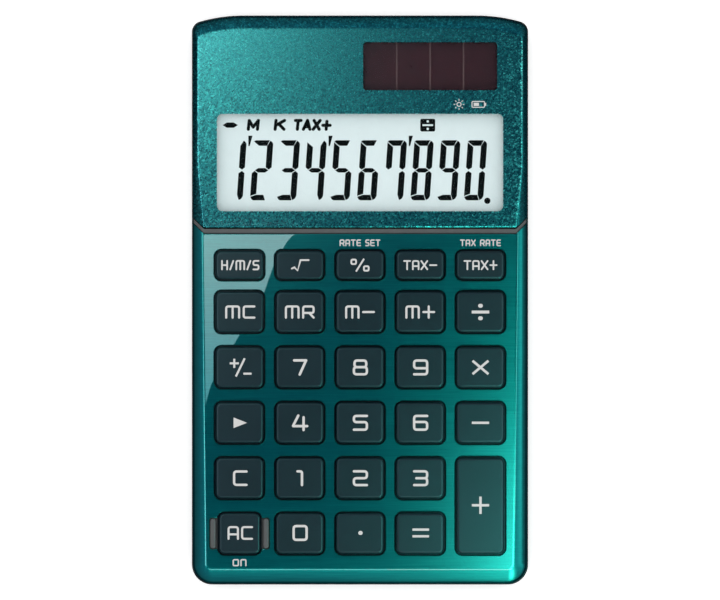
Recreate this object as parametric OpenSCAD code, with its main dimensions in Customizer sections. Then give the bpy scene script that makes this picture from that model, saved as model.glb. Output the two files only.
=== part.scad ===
// Slim solar and battery pocket calculator, lying on its back with the keys up.
// X runs across the case, Y towards the display end, Z up. The origin is on the
// resting surface, under the middle of the case. Millimetres.

/* [Case] */
// Width across the back cover
case_w = 70; // [69.8:0.1:70.6]
// Length from the bottom edge to the top edge
case_l = 118.5; // [118.2:0.1:119.2]
// Height from the resting surface to the key tops
case_h = 8.6; // [8.5:0.1:9]
// Radius of the two bottom corners
foot_corner_r = 4.2; // [3.8:0.1:4.6]
// Radius of the two top corners
head_corner_r = 2.2; // [2:0.1:2.6]
// Radius of the long shoulder beside each top corner
shoulder_r = 33; // [30:1:36]

/* [Keys] */
// Width of a key opening in the key panel
opening_w = 10.5; // [10.2:0.1:10.6]
// Height of a full key opening
opening_h = 9.05; // [8.8:0.05:9.1]
// Height of an opening in the short top row
short_opening_h = 6.5; // [6.2:0.1:6.6]
// Corner radius of an opening
opening_r = 1.5; // [1.3:0.1:1.8]
// Gap all round between a key and its opening
key_gap = 0.36; // [0.32:0.02:0.4]
// How far the keys stand above the panel
key_rise = 1; // [0.9:0.05:1.1]
// Distance that a key goes down
key_travel = 0.8; // [0.6:0.1:0.8]
// Distance between key columns
column_pitch = 12.53; // [12.48:0.01:12.56]
// Distance between the full key rows
row_pitch = 11.52; // [11.48:0.01:11.54]

/* [Windows] */
// Width of the display opening
display_w = 59.5; // [58:0.5:59.5]
// Height of the display opening
display_l = 20.2; // [19.6:0.1:20.4]
// Width of the solar cell opening
solar_w = 27.8; // [26:0.2:27.8]
// Height of the solar cell opening
solar_l = 9.9; // [9.5:0.1:10]

/* [Hidden] */
$fn = 48;

// Levels, from the resting surface up
foot_z = 0.4;                       // outside of the back cover
floor_z = foot_z + 1.2;             // inside of the back cover
seat_z = floor_z - 0.1;             // where the case screws' heads bear
tower_z = 2.3;                      // top of the back cover's screw towers
board_z = 3.1;
board_top = board_z + 0.8;
mat_top = board_top + 0.4;
seam_z = 4.4;                       // where the back cover meets the panels
panel_top = case_h - key_rise;      // outer face of both panels
frame_top = panel_top - 0.6;
frame_z = frame_top - 0.8;          // underside of the frame's key plate
flange_top = frame_z - 0.05;
flange_z = flange_top - 0.75;
dome_top = flange_z - 0.05;

// Panels
panel_half = case_w / 2 - 0.25;     // the back cover stands this much proud
y_end = case_l / 2;
panel_end = y_end - 0.25;
shoulder_turn = 16;                 // degrees that each long shoulder turns
skirt_z = seam_z + 0.1;
sheet_t = 0.5;                      // aluminium key panel
mould_t = 0.9;                      // moulded display panel
bevel_h = 2.85;                     // height of the panels' rounded edges
crease_turn = 15;                   // slope left at the crease, in degrees
crease_r = 1.3;
rib_inset = 2.25;                   // of the rib that locates the panels
side_bevel = 2.2;
foot_bevel = 3.1;
head_bevel = 2.35;
cheek_bevel = 1.15;
waist_bevel = 2.35;
cheek_y = 27.6;                     // where the display panel's cheeks start to widen

// Separator bar between the panels
bar_top_y = 15;
bar_bottom_y = 13.75;
bar_half = 32.3;                    // half length of its straight stretch
bar_rake = 0.84;                    // rise over run of its raked ends
bar_drop = 0.15;
bar_gap = 0.12;

// Windows and what lies under them
display_y = 28.6;
solar_at = [14.6, 48.65];
window_z = panel_top - 0.25;        // outer face of both windows
window_flange = 0.6;
glass_w = 63;
glass_t = 0.7;
glass_y = [16.2, 40];
ledge = 2.2;                        // front glass beyond the rear glass
film_t = 0.2;
glass_z = board_top + 0.3 + film_t; // underside of the rear glass
wire_r = 0.3;

// Keys
top_row_y = 7.25;
first_row_y = -2.5;
flange_lip = 0.4;
crown_h = 0.6;
guard = [1.15, 6.2];                // ribs beside the AC key
guard_x = 5.5;
guard_rise = 0.8;
ac_opening_w = 9.2;
dome_r = 2.4;

// Fasteners, feet and battery
screws = [[-31.4, 53.6], [31.4, 53.6], [-31.2, 12.9], [31.2, 12.9], [-30.6, -55.5], [30.6, -55.5]];
screw_head_r = 1.5;
screw_r = 0.7;
board_screws = [[-12.5, 13.4], [12.5, 13.4]];
feet = [[-27.5, 46], [27.5, 46], [-27.5, -46], [27.5, -46]];
foot_r = 3;
foot_t = 0.9;
battery_at = [-14, 49.4];
battery_r = 5.8;
battery_z = foot_z + 0.7;
battery_h = 3.05;
well_z = foot_z + 0.65;             // ledge that the battery door rests on
door_at = [-11.8, 49.4];
door_size = [19.6, 13.8];
door_screw_at = [-4.4, 49.4];
board_half = 29;
board_y = [-52.6, 42.3];

ROWS = [["key_hms", "key_root", "key_percent", "key_tax_minus", "key_tax_plus"],
        ["key_mc", "key_mr", "key_m_minus", "key_m_plus", "key_divide"],
        ["key_sign", "key_7", "key_8", "key_9", "key_times"],
        ["key_back", "key_4", "key_5", "key_6", "key_minus"],
        ["key_c", "key_1", "key_2", "key_3", "key_plus"],
        ["key_ac", "key_0", "key_point", "key_equals"]];

function key_width(name) = name == "key_ac" ? ac_opening_w : opening_w;
function key_height(name, row) =
    row == 0 ? short_opening_h : name == "key_plus" ? opening_h + row_pitch : opening_h;
function key_y(name, row) =
    row == 0 ? top_row_y
    : first_row_y - (row - 1) * row_pitch - (name == "key_plus" ? row_pitch / 2 : 0);
// [name, centre, size of its opening]
KEYS = [for (row = [0:len(ROWS) - 1]) for (column = [0:len(ROWS[row]) - 1])
        let (name = ROWS[row][column])
        [name, [(column - 2) * column_pitch, key_y(name, row)],
         [key_width(name), key_height(name, row)]]];
ac_at = [for (key = KEYS) if (key[0] == "key_ac") key[1]][0];

// ---- outlines ----

function arc(centre, r, from, to, steps) =
    [for (i = [0:steps]) let (a = from + (to - from) * i / steps)
     centre + r * [cos(a), sin(a)]];
function mirrored(points) =
    [for (i = [len(points) - 1:-1:0]) [-points[i][0], points[i][1]]];
function both_sides(right) = concat(right, mirrored(right));
function mix(a, b, share) = [for (i = [0:len(a) - 1]) a[i] * (1 - share) + b[i] * share];

// A top corner and its long shoulder, for a case of this half width and top
// edge, moved in by d
function head(half, top, corner, d) =
    let (c = max(0.3, corner - d),
         s = shoulder_r - d,
         corner_centre = [half - d - c, top - d - s + (s - c) * cos(shoulder_turn)],
         long_centre = [half - d - c - (s - c) * sin(shoulder_turn), top - d - s])
    concat(arc(corner_centre, c, 0, 90 - shoulder_turn, 5),
           arc(long_centre, s, 93 - shoulder_turn, 90, 4));

// A bottom corner, moved in by d
function foot(half, bottom, corner, d) =
    let (c = max(0.3, corner - d)) arc([half - d - c, bottom + d + c], c, -90, 0, 6);

function case_outline(d) =
    both_sides(concat(foot(case_w / 2, -y_end, foot_corner_r, d),
                      head(case_w / 2, y_end, head_corner_r, d)));

// Each panel has an outer edge and a crease round its flat face
function display_edge(d) =
    both_sides(concat([[panel_half - d, bar_bottom_y], [panel_half - d, cheek_y]],
                      head(panel_half, panel_end, head_corner_r, d)));
function display_crease(d) =
    let (half = panel_half - cheek_bevel)
    both_sides(concat([[panel_half - waist_bevel - d, bar_bottom_y], [half - d, cheek_y]],
                      head(half, panel_end - head_bevel, crease_r, d)));
function key_edge(d) =
    both_sides(concat(foot(panel_half, -panel_end, foot_corner_r, d),
                      [[panel_half - d, bar_top_y + 5]]));
function key_crease(d) =
    both_sides(concat(foot(panel_half - foot_bevel, foot_bevel - panel_end, crease_r, d),
                      [[panel_half - side_bevel - d, bar_top_y + 5]]));

// A rounded rectangle
function plate(size, r) =
    [for (k = [0:3])
     let (x = k == 0 || k == 3 ? 1 : -1, y = k < 2 ? 1 : -1)
     each arc([x * (size[0] / 2 - r), y * (size[1] / 2 - r)], r, k * 90, k * 90 + 90, 4)];

// ---- shared shapes ----

// A solid through rings of the same number of points, one ring at each height
module loft(rings, heights) {
    n = len(rings[0]);
    last = (len(rings) - 1) * n;
    points = [for (k = [0:len(rings) - 1]) for (p = rings[k]) [p[0], p[1], heights[k]]];
    sides = [for (k = [0:len(rings) - 2]) for (i = [0:n - 1])
             let (a = k * n + i, b = k * n + (i + 1) % n)
             each [[a, a + n, b + n], [a, b + n, b]]];
    polyhedron(points, concat([[for (i = [0:n - 1]) i]],
                              [[for (i = [n - 1:-1:0]) last + i]], sides));
}

// Upright from height z, then rounded over to the crease at height top
module rounded_over(edge, crease, z, top) {
    steps = 5;
    turns = [for (i = [0:steps]) 90 - (90 - crease_turn) * i / steps];
    loft(concat([edge], [for (a = turns) mix(edge, crease, (1 - sin(a)) / (1 - sin(crease_turn)))]),
         concat([z], [for (a = turns) top - bevel_h * (1 - cos(a) / cos(crease_turn))]));
}

module rounded(size, r) {
    square([size[0] - 2 * r, size[1]], center = true);
    square([size[0], size[1] - 2 * r], center = true);
    for (x = [-1, 1], y = [-1, 1])
        translate([x * (size[0] / 2 - r), y * (size[1] / 2 - r)]) circle(r);
}

module slab(at, size, r, z, top)
    translate([at[0], at[1], z]) linear_extrude(top - z) rounded(size, r);

module disc(at, r, z, top) translate([at[0], at[1], z]) cylinder(top - z, r = r);

// A box from one corner to the other
module block(low, high) translate(low) cube(high - low);

// All that lies on one side of a line parallel to the separator bar
module beside_bar(y, side)
    let (x = case_w / 2 + 1, raked_y = y + (x - bar_half) * bar_rake, far = side * case_l)
    translate([0, 0, -1]) linear_extrude(case_h + 2)
        polygon([[-x, raked_y], [-bar_half, y], [bar_half, y], [x, raked_y], [x, far], [-x, far]]);

module key_openings(grow, z) {
    for (key = KEYS)
        slab(key[1], key[2] + [grow, grow], opening_r, z, case_h);
}

// A screw with a cross recess, its head downwards on height z
module pan_screw(at, head_r, r, head_h, z, top) {
    difference() {
        disc(at, head_r, z - head_h, z);
        for (a = [0, 90])
            translate([at[0], at[1], z - head_h]) rotate(a)
                cube([head_r * 1.2, 0.35, 0.7], center = true);
    }
    disc(at, r, z - 0.01, top);
}

// ---- casing ----

module back_shell() {
    difference() {
        loft([for (d = [1.9, 1.2, 0.65, 0.25, 0.05, 0]) case_outline(d)],
             [foot_z, foot_z + 0.25, foot_z + 0.7, foot_z + 1.5, foot_z + 2.6, seam_z]);
        loft([for (d = [2, 1.5, 1.3, 1.3]) case_outline(d)],
             [floor_z, floor_z + 0.4, floor_z + 1.2, seam_z + 1]);
    }
    // rib that locates the panels
    difference() {
        translate([0, 0, floor_z - 0.1]) linear_extrude(seam_z + 0.4 - floor_z) difference() {
            polygon(case_outline(rib_inset));
            polygon(case_outline(rib_inset + 0.5));
        }
        for (at = screws) disc(at, 1.9, floor_z, case_h);
    }
}

module back_cover() color("#17191c") {
    difference() {
        union() {
            difference() {
                back_shell();
                slab(door_at, door_size + [0.3, 0.3], 1.6, 0, well_z);
                disc(battery_at, battery_r + 0.25, 0, floor_z + 0.1);
            }
            for (at = screws) disc(at, 2.3, seat_z - 0.3, tower_z);
            disc(door_screw_at, 1.6, floor_z - 0.1, floor_z + 1.6);
            // battery collar, open towards the board for its contacts
            difference() {
                disc(battery_at, battery_r + 1.1, floor_z - 0.1, battery_z + battery_h);
                disc(battery_at, battery_r + 0.25, 0, case_h);
                block([battery_at[0] - 3, board_y[1], floor_z], [battery_at[0] + 3, battery_at[1], case_h]);
            }
            // ribs that the main board rests on
            for (x = [-18.8, 18.8]) block([x - 0.4, -50, floor_z - 0.1], [x + 0.4, 8, board_z]);
        }
        for (at = screws) {
            disc(at, screw_head_r + 0.1, 0, seat_z);
            disc(at, screw_r + 0.15, 0, case_h);
        }
        for (at = feet) disc(at, foot_r + 0.05, 0, foot_t);
        disc(door_screw_at, 0.65, 0, floor_z + 1.4);
    }
}

module rubber_feet() color("#0d0e10") {
    for (at = feet) {
        disc(at, foot_r, 0.2, foot_t);
        translate([at[0], at[1], 0]) cylinder(0.2, r1 = foot_r - 0.25, r2 = foot_r);
    }
}

module battery_door() color("#1b1d20") {
    difference() {
        slab(door_at, door_size, 1.5, foot_z + 0.05, well_z);
        translate([door_screw_at[0], door_screw_at[1], foot_z]) cylinder(0.7, r1 = 1.45, r2 = 0.8);
        // grip ribs
        for (i = [0:4])
            slab(battery_at + [-3 + 1.5 * i, 0], [0.5, 6], 0.2, foot_z, foot_z + 0.25);
    }
}

module battery_door_screw() color("silver") {
    at = door_screw_at;
    difference() {
        translate([at[0], at[1], foot_z + 0.1]) cylinder(0.55, r1 = 1.25, r2 = 0.6);
        for (a = [0, 90])
            translate([at[0], at[1], foot_z + 0.1]) rotate(a) cube([1.5, 0.3, 0.5], center = true);
    }
    disc(at, 0.6, well_z - 0.01, floor_z + 1.3);
}

module case_screws() color("silver") {
    for (at = screws)
        pan_screw(at, screw_head_r, screw_r, 0.7, seat_z, frame_z - 0.8);
}

// Grey frame that guides the keys and shows as the separator bar and AC guards
module inner_frame() color("#55585a") {
    difference() {
        union() {
            intersection() {
                rounded_over(key_edge(0.62), key_crease(0.62), seam_z + 0.05, frame_top);
                beside_bar(bar_top_y - bar_gap, -1);
            }
            intersection() {
                rounded_over(key_edge(0.15), key_crease(0.15), seam_z + 0.05, panel_top - bar_drop);
                beside_bar(bar_top_y - bar_gap, -1);
                beside_bar(bar_bottom_y + bar_gap, 1);
            }
        }
        rounded_over(key_edge(1.05), key_crease(1.05), 0, frame_z);
        key_openings(0, frame_z - 1);
    }
    for (side = [-1, 1])
        slab(ac_at + [side * guard_x, 0], guard, 0.3, frame_top - 0.1, panel_top + guard_rise);
    for (at = screws) if (at[1] < bar_bottom_y) difference() {
        disc(at, 1.6, tower_z + 0.05, frame_z + 0.1);
        disc(at, screw_r + 0.02, 0, frame_z - 0.6);
    }
    for (at = board_screws) difference() {
        disc(at, 1.4, board_top, frame_z + 0.1);
        disc(at, 0.62, 0, frame_z - 0.4);
    }
}

module panel_adhesive() color("#d8d3b8") {
    difference() {
        intersection() {
            translate([0, 0, frame_top]) linear_extrude(0.1) polygon(key_crease(1.2));
            beside_bar(bar_bottom_y - 0.6, -1);
        }
        key_openings(0.6, frame_z);
        guard_slots(0.6);
    }
}

module guard_slots(grow)
    slab(ac_at, [2 * guard_x + guard[0] + grow, guard[1] + grow], 0.4, frame_z, case_h);

module key_panel() color("#0c8582") {
    difference() {
        rounded_over(key_edge(0), key_crease(0), skirt_z, panel_top);
        rounded_over(key_edge(sheet_t), key_crease(sheet_t), 0, panel_top - sheet_t);
        beside_bar(bar_bottom_y, 1);
        key_openings(0, frame_z);
        guard_slots(0.2);
    }
}

module display_panel() color("#22757a") {
    difference() {
        rounded_over(display_edge(0), display_crease(0), skirt_z, panel_top);
        rounded_over(display_edge(mould_t), display_crease(mould_t), 0, panel_top - mould_t);
        beside_bar(bar_top_y, -1);
        slab([0, display_y], [display_w, display_l], 1.1, frame_z - 1, case_h);
        slab(solar_at, [solar_w, solar_l], 0.6, frame_z - 1, case_h);
    }
    for (at = screws) if (at[1] > bar_top_y) difference() {
        disc(at, 1.6, tower_z + 0.05, panel_top - mould_t + 0.1);
        disc(at, screw_r + 0.02, 0, frame_z - 0.6);
    }
}

// ---- display ----

// A clear window held behind its opening by a flange
module window(at, size, r, margin) {
    step = panel_top - mould_t;
    slab(at, size + [margin, margin], r, step - window_flange, step);
    slab(at, size - [0.1, 0.1], r, step - 0.1, window_z);
}
module display_window() color("#dfeaea", 0.35) window([0, display_y], [display_w, display_l], 1.05, 3);
module solar_window() color("#3d2a30", 0.35) window(solar_at, [solar_w, solar_l], 0.55, 2);

// A layer of the display, between two heights and two places along Y
module glass_layer(y, z, t, margin = 0)
    block([-glass_w / 2 + margin, y[0] + margin, z], [glass_w / 2 - margin, y[1] - margin, z + t]);
module lcd_reflector() color("#b9c4c2") glass_layer([glass_y[0] + ledge, glass_y[1]], glass_z - film_t, film_t);
module lcd_rear_glass() color("#c9d6d4") glass_layer([glass_y[0] + ledge, glass_y[1]], glass_z, glass_t);
module lcd_front_glass() color("#d5e2e2") glass_layer(glass_y, glass_z + glass_t, glass_t);
module lcd_polariser() color("#d5e2e2")
    glass_layer([glass_y[0] + ledge - 0.5, glass_y[1]], glass_z + 2 * glass_t, film_t, 0.5);

module lcd_holder() color("#e4e4e0") {
    difference() {
        block([-32.2, glass_y[0] - 0.7, board_top], [32.2, glass_y[1] + 0.6, glass_z + 2 * glass_t]);
        glass_layer(glass_y - [0.05, -0.05], glass_z - film_t, 3, -0.05);
        // seat's opening, and the slot for the contact strip
        block([-28, glass_y[0] + 4, 0], [28, glass_y[1] - 2, case_h]);
        block([-29.1, glass_y[0] - 0.05, 0], [29.1, glass_y[0] + ledge - 0.15, case_h]);
    }
}

module zebra_strip() color("#e7b7c0")
    block([-29, glass_y[0] + 0.1, board_top], [29, glass_y[0] + ledge - 0.3, glass_z + glass_t]);

// ---- power ----

module solar_cell() color("#35232b")
    slab(solar_at, [29, 11.2], 0.3, panel_top - 2.1, panel_top - 1.55);

// A wire from the cell's underside down to the board
module solar_wire(x) {
    from_y = solar_at[1] - 1.6;
    to_y = board_y[1] - 0.8;
    bend_r = 0.7;
    mid_z = (panel_top - 2.1 + board_top) / 2;
    for (end = [[from_y, 1], [to_y, -1]]) {
        translate([x, end[0] - end[1] * bend_r, mid_z + end[1] * bend_r])
            rotate([0, 90, 0]) rotate(end[1] > 0 ? 0 : 180)
                rotate_extrude(angle = 90) translate([bend_r, 0]) circle(wire_r, $fn = 24);
        translate([x, end[0], end[1] > 0 ? mid_z + bend_r : board_top])
            cylinder(panel_top - 2.1 - mid_z - bend_r, r = wire_r, $fn = 24);
    }
    translate([x, from_y - bend_r, mid_z]) rotate([90, 0, 0])
        cylinder(from_y - to_y - 2 * bend_r, r = wire_r, $fn = 24);
}
module solar_wire_red() color("#b3261e") solar_wire(3);
module solar_wire_black() color("#17181a") solar_wire(6.5);

module buffer_capacitor() color("#20262e") {
    at = [20, board_y[1] + 3.2, board_top - 0.2];
    r = 1.7;
    translate(at) rotate([-90, 0, 0]) {
        translate([0, 0, 0.3]) cylinder(6.2, r = r);
        cylinder(0.3, r1 = r - 0.3, r2 = r);
        translate([0, 0, 6.5]) cylinder(0.3, r1 = r, r2 = r - 0.3);
    }
    for (x = [-0.8, 0.8])
        translate([at[0] + x, board_y[1] - 0.9, board_top + 0.25]) rotate([-90, 0, 0])
            cylinder(at[1] - board_y[1] + 1, r = 0.25, $fn = 24);
}

module battery() color("silver") {
    disc(battery_at, battery_r, battery_z, battery_z + 2.5);
    translate([battery_at[0], battery_at[1], battery_z + 2.5])
        cylinder(0.25, r1 = battery_r, r2 = battery_r - 0.3);
    disc(battery_at, battery_r - 0.8, battery_z + 2.74, battery_z + battery_h);
}

module battery_contacts() color("#c9c2a6") {
    x = battery_at[0];
    y = battery_at[1];
    strip_z = battery_z + battery_h + 0.05;
    // over the cell, with its foot on the board
    block([x - 1.5, board_y[1] - 1.3, strip_z], [x + 1.5, y + 1.6, strip_z + 0.2]);
    block([x - 1.5, board_y[1] - 1.3, board_top], [x + 1.5, board_y[1] - 1, strip_z + 0.2]);
    // beside the cell
    edge_y = y - battery_r - 0.3;
    block([x - 2.5, edge_y, 2.2], [x + 2.5, edge_y + 0.2, board_top + 0.2]);
    block([x + 1.8, board_y[1] - 0.9, board_top], [x + 2.5, edge_y + 0.2, board_top + 0.2]);
}

// ---- electronics and key mechanism ----

module main_board() color("#2f6b3a") {
    difference() {
        block([-board_half, board_y[0], board_z], [board_half, board_y[1], board_top]);
        for (at = board_screws) disc(at, 0.75, 0, case_h);
    }
}

module board_screws() color("silver") {
    for (at = board_screws) pan_screw(at, 1.25, 0.6, 0.6, board_z, frame_z - 0.6);
}

module contact_pads() color("#2b2b2d") {
    for (key = KEYS)
        translate([key[1][0], key[1][1], board_top]) linear_extrude(0.05) difference() {
            circle(1.6);
            square([0.3, 4], center = true);
        }
}

module chip_blob() color("#101012")
    translate([6, 27, board_z]) rotate_extrude()
        polygon(concat([[0, 0]], [for (a = [0:15:90]) [4.5 * cos(a), -0.95 * sin(a)]]));

module chip_parts() color("#8a7a5c") {
    for (at = [[-14, 24], [-14, 30], [-9, 36], [18, 22], [18, 33], [-4, 18]])
        block([at[0], at[1], board_z - 0.55], [at[0] + 2, at[1] + 1.2, board_z]);
}

module key_mat() color("#c9cdd0") {
    difference() {
        block([-board_half + 0.1, board_y[0] + 0.1, board_top], [board_half - 0.1, 11.4, mat_top]);
        for (key = KEYS) disc(key[1], dome_r + 0.05, 0, case_h);
    }
}

// Silicone domes, one under each key, each with a plunger over its contact pad
module key_domes() color("#d5d8da") {
    waist = [1.7, 5];
    for (key = KEYS)
        translate([key[1][0], key[1][1], 0]) rotate_extrude()
            polygon([[0, board_top + key_travel], [1.15, board_top + key_travel],
                     [1.3, waist[1] - 0.1], [dome_r - 0.4, mat_top], [dome_r - 0.4, board_top],
                     [dome_r, board_top], [dome_r, mat_top + 0.05], waist,
                     [1.6, dome_top], [0, dome_top]]);
}

module key_cap(key) color("#17282f") {
    cap = key[2] - 2 * [key_gap, key_gap];
    r = opening_r - key_gap;
    // retaining flange
    slab(key[1], key[2] + 2 * [flange_lip, flange_lip], opening_r, flange_z, flange_top);
    // stem and rounded crown
    translate([key[1][0], key[1][1], 0])
        loft([for (d = [0, 0, 0.07, 0.25, 0.6]) plate(cap - 2 * [d, d], r - d)],
             [flange_z + 0.1, case_h - crown_h, case_h - 0.35, case_h - 0.12, case_h]);
}

back_cover();
rubber_feet();
battery_door();
battery_door_screw();
case_screws();
inner_frame();
panel_adhesive();
key_panel();
display_panel();
display_window();
solar_window();
solar_cell();
solar_wire_red();
solar_wire_black();
lcd_polariser();
lcd_front_glass();
lcd_rear_glass();
lcd_reflector();
lcd_holder();
zebra_strip();
main_board();
board_screws();
contact_pads();
chip_blob();
chip_parts();
buffer_capacitor();
key_mat();
key_domes();
battery();
battery_contacts();
for (key = KEYS) key_cap(key);
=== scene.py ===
"""A slim solar and battery pocket calculator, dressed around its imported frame.

Lengths are in millimetres until a mesh is made. The places of all pieces come
from the boxes of the frame's nodes.
"""
import math

import bmesh
import bpy
import mathutils
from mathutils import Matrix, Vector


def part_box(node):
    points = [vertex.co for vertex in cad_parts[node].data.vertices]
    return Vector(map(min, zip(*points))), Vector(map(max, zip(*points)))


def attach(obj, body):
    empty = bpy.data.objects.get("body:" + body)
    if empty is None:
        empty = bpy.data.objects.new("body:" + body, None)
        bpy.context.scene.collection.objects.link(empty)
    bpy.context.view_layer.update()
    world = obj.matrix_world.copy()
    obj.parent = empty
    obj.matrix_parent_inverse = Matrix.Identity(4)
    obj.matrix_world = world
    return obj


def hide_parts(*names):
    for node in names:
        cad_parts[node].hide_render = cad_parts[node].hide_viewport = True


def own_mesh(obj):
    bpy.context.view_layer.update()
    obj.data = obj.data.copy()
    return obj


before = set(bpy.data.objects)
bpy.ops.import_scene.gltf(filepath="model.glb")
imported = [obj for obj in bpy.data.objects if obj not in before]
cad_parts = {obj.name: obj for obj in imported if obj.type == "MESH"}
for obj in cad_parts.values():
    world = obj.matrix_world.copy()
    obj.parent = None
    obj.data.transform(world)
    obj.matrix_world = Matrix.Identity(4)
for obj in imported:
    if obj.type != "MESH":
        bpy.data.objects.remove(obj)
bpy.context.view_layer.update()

MM = 0.001
ROWS = [["key_hms", "key_root", "key_percent", "key_tax_minus", "key_tax_plus"],
        ["key_mc", "key_mr", "key_m_minus", "key_m_plus", "key_divide"],
        ["key_sign", "key_7", "key_8", "key_9", "key_times"],
        ["key_back", "key_4", "key_5", "key_6", "key_minus"],
        ["key_c", "key_1", "key_2", "key_3", "key_plus"],
        ["key_ac", "key_0", "key_point", "key_equals"]]
KEYS = [name for row in ROWS for name in row]
LEFT_COLUMN = [row[0] for row in ROWS]


def box(node):
    """Lowest and highest corners of a node, in millimetres."""
    low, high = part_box(node)
    return [v / MM for v in low], [v / MM for v in high]


def middle(node):
    low, high = box(node)
    return [(a + b) / 2 for a, b in zip(low, high)]


def size(node):
    low, high = box(node)
    return [b - a for a, b in zip(low, high)]


# ---- sizes, from the frame ----

KEY_TOP = box("key_5")[1][2]
PANEL_TOP = box("key_panel")[1][2]
SKIRT_Z = box("key_panel")[0][2]
PANEL_HALF = box("key_panel")[1][0]
PANEL_END = box("display_panel")[1][1]
CASE_HALF = box("back_cover")[1][0]
CASE_END = box("back_cover")[1][1]
CASE_Z = box("battery_door")[0][2] - 0.05
SEAM_Z = SKIRT_Z - 0.1
FRAME_Z = box("panel_adhesive")[0][2] - 0.8
FLANGE_LIP = 0.4
KEY_GAP = 0.36
OPENING_R = 1.5
AC = middle("key_ac")
# the ribs beside the AC key: how far from its middle, width, length and corners
GUARD_X, GUARD_W, GUARD_L, GUARD_R = 5.5, 1.15, 6.2, 0.57
CASE_FLOOR = 1.2
FOOT_R = 3
DOOR_R = 1.6
SCREW_R = 1.6
SCREW_PLACES = ((31.4, 53.6), (31.2, 12.9), (30.6, -55.5))
FOOT_CORNER = 4.2
HEAD_CORNER = 2.2
SHOULDER = 33
SHOULDER_TURN = 16
SHOULDER_Y = 27.6
LEAST_R = 0.3
BAR_BOTTOM_Y, BAR_TOP_Y = 13.75, 15.0
BAR_HALF, BAR_RAKE, BAR_GAP = 32.5, 0.98, 0.22
# how far in a panel's crease runs: by the foot or the bar, at the end, and at the other sides
KEY_CREASE = (2.6, 2.9, 1.75)
DISPLAY_CREASE = (2.35, 2.35, 0.95)
# a panel's bevel: its width, its slope at the crease and further out, the share that rounds over
BEVEL_W = 3.1
CREASE_TURN = math.radians(15)
BEVEL_TURN = math.radians(27)
ROUND_SHARE = 0.2
CREASE_R = 1.3
FILLET = 0.4
KEY_WALL, DISPLAY_WALL = 0.5, 0.9
# how far inside the key panel's outline the inner frame, its bar and its hollow lie
FRAME_IN, BAR_IN, HOLLOW_IN = 0.62, 0.15, 1.05
FLANGE_H = 0.75
PRINT_PROUD = 0.015
# cutters end above everything, start below the openings, or reach just past a face
CLEAR, OPENING_LOW, PAST = 20, 5, 0.002
SMOOTH_TURN = math.radians(30)


# ---- outlines ----

def arc(centre, r, start, end, steps):
    """Points along an arc, between two angles in degrees."""
    turns = [math.radians(start + (end - start) * i / steps) for i in range(steps + 1)]
    return [(centre[0] + r * math.cos(a), centre[1] + r * math.sin(a)) for a in turns]


def both_sides(right):
    return right + [(-x, y) for x, y in reversed(right)]


def head(half, top, corner, d):
    """A top corner and its long shoulder, moved in by d."""
    c = max(LEAST_R, corner - d)
    s = SHOULDER - d
    turn = math.radians(SHOULDER_TURN)
    corner_centre = (half - d - c, top - d - s + (s - c) * math.cos(turn))
    long_centre = (half - d - c - (s - c) * math.sin(turn), top - d - s)
    return (arc(corner_centre, c, 0, 90 - SHOULDER_TURN, 10)
            + arc(long_centre, s, 92 - SHOULDER_TURN, 90, 7))


def foot(half, bottom, corner, d):
    c = max(LEAST_R, corner - d)
    return arc((half - d - c, bottom + d + c), c, -90, 0, 14)


def case_outline(d):
    return both_sides(foot(CASE_HALF, -CASE_END, FOOT_CORNER, d)
                      + head(CASE_HALF, CASE_END, HEAD_CORNER, d))


def key_edge(d):
    return both_sides(foot(PANEL_HALF, -PANEL_END, FOOT_CORNER, d)
                      + [(PANEL_HALF - d, BAR_TOP_Y + 5)])


def key_crease(d):
    low, end, side = KEY_CREASE
    return both_sides(foot(PANEL_HALF - low, end - PANEL_END, CREASE_R, d)
                      + [(PANEL_HALF - side - d, BAR_TOP_Y + 5)])


def display_edge(d):
    return both_sides([(PANEL_HALF - d, BAR_BOTTOM_Y), (PANEL_HALF - d, SHOULDER_Y)]
                      + head(PANEL_HALF, PANEL_END, HEAD_CORNER, d))


def display_crease(d):
    low, end, side = DISPLAY_CREASE
    half = PANEL_HALF - side
    return both_sides([(PANEL_HALF - low - d, BAR_BOTTOM_Y), (half - d, SHOULDER_Y)]
                      + head(half, PANEL_END - end, CREASE_R, d))


def rounded(centre, extent, r, steps=6):
    """A rounded rectangle, anticlockwise."""
    x, y = extent[0] / 2 - r, extent[1] / 2 - r
    corners = [(x, y), (-x, y), (-x, -y), (x, -y)]
    return [p for k, (cx, cy) in enumerate(corners)
            for p in arc((centre[0] + cx, centre[1] + cy), r, 90 * k, 90 * k + 90, steps)]


def circle(centre, r, steps=32):
    return arc(centre, r, 0, 360 - 360 / steps, steps - 1)


def mix(a, b, share):
    return [(p[0] * (1 - share) + q[0] * share, p[1] * (1 - share) + q[1] * share)
            for p, q in zip(a, b)]


# ---- meshes ----

def loft(bm, rings, heights, slot=0):
    """A closed solid through rings of the same number of points."""
    levels = [[bm.verts.new((x * MM, y * MM, z * MM)) for x, y in ring]
              for ring, z in zip(rings, heights)]
    faces = [bm.faces.new(levels[0][::-1]), bm.faces.new(levels[-1])]
    for low, high in zip(levels, levels[1:]):
        for i in range(len(low)):
            j = (i + 1) % len(low)
            faces.append(bm.faces.new((low[i], low[j], high[j], high[i])))
    for face in faces:
        face.material_index = slot


def prism(bm, outline, low, high, slot=0):
    loft(bm, [outline, outline], [low, high], slot)


def stack(bm, centre, extent, r, steps, corners=6):
    """A solid of rounded rectangles, each moved in by its own distance at its own height."""
    loft(bm, [rounded(centre, (extent[0] - 2 * d, extent[1] - 2 * d), r - d, corners)
              for d, z in steps], [z for d, z in steps])


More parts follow.
